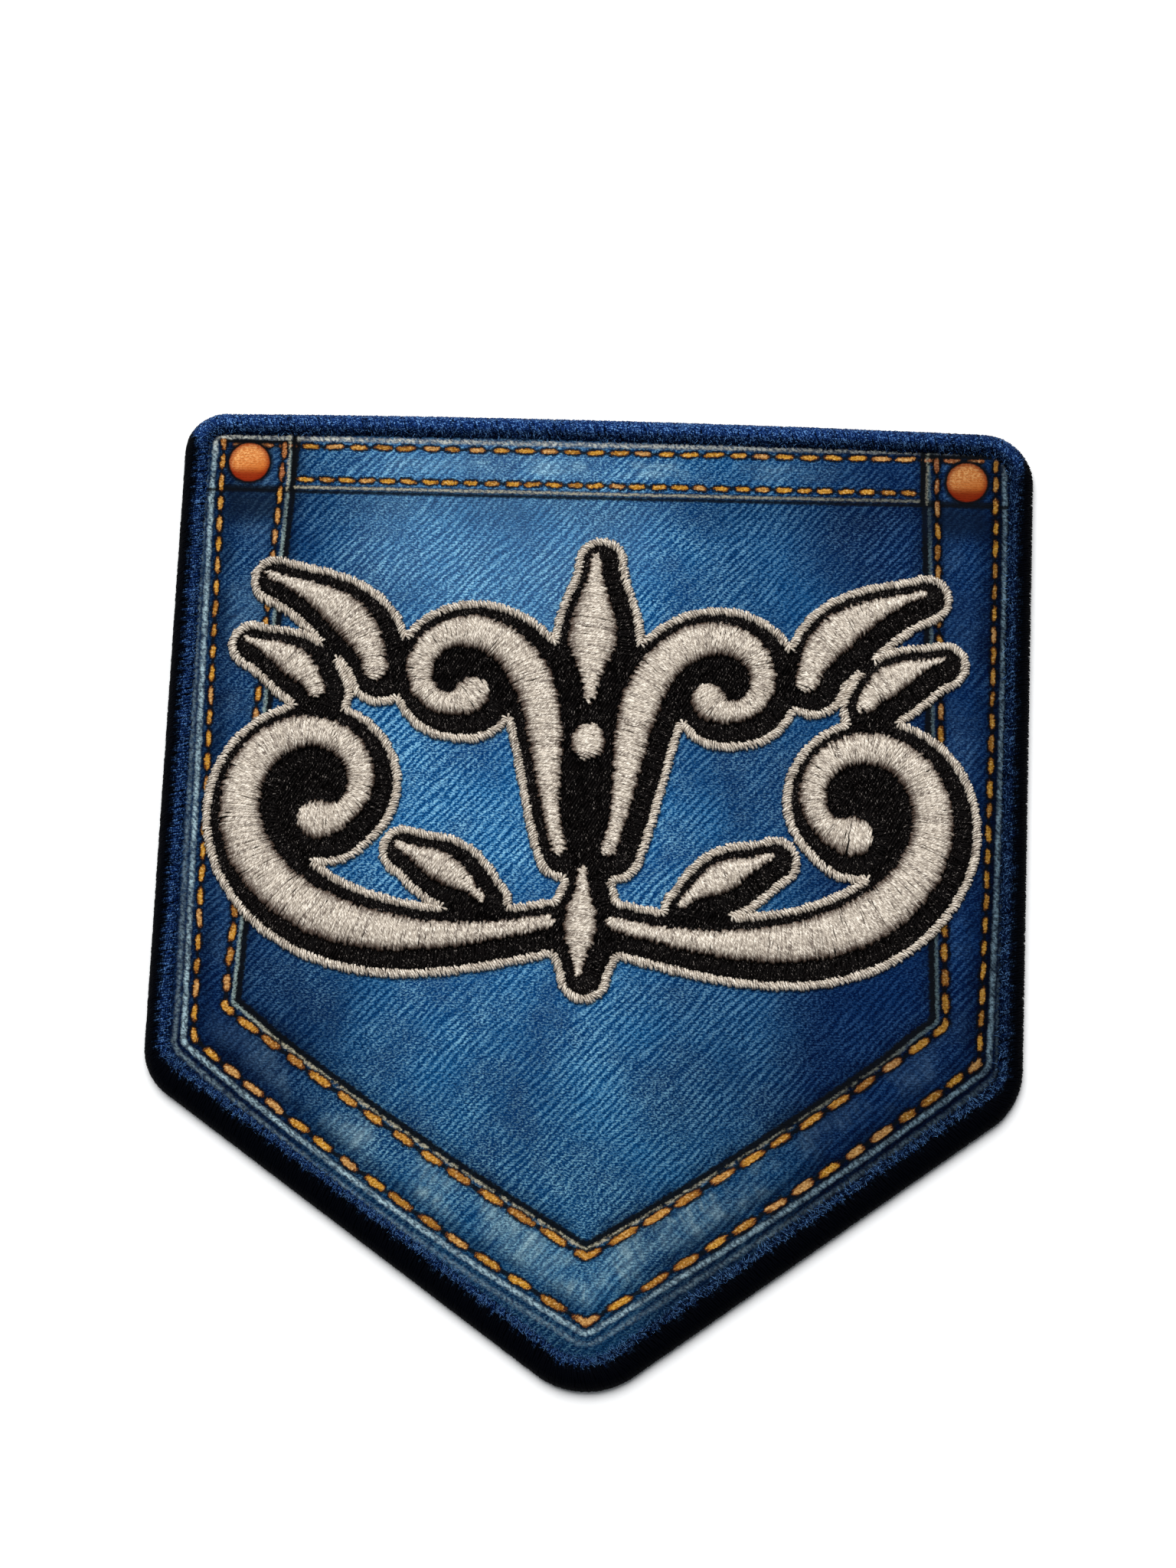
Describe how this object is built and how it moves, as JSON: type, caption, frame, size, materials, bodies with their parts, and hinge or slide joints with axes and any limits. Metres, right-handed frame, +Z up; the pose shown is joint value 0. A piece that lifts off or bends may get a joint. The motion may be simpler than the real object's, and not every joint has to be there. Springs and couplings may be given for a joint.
{
  "type": "embroidered patch",
  "caption": "Sew-on embroidered patch in the shape of a jeans pocket, with a rolled thread border, a denim face and a raised satin scroll ornament.",
  "frame": {"origin": "on the surface that the patch lies on, under the middle of its outline", "axes": "+Z up out of the embroidered face, +Y towards the straight top edge, +X to the right as seen from the front"},
  "size_m": [0.102, 0.1164, 0.0032],
  "materials": {
    "navy_border_thread": "rolled overlock thread with a slight sheen",
    "denim_print_cloth": "ribbed cloth printed as blue denim",
    "black_thread": "flat black embroidery thread",
    "white_thread": "satin embroidery thread, warm off-white"
  },
  "bodies": {
    "root": {"rolled_border": "navy_border_thread", "face_cloth": "denim_print_cloth", "motif_ground": "black_thread", "motif_cord": "white_thread", "scroll_left": "white_thread", "scroll_right": "white_thread", "curl_left": "white_thread", "curl_right": "white_thread", "long_leaf_left": "white_thread", "long_leaf_right": "white_thread", "short_leaf_left": "white_thread", "short_leaf_right": "white_thread", "inner_leaf_left": "white_thread", "inner_leaf_right": "white_thread", "top_leaf": "white_thread", "bead": "white_thread", "drop_leaf": "white_thread"}
  },
  "joints": []
}
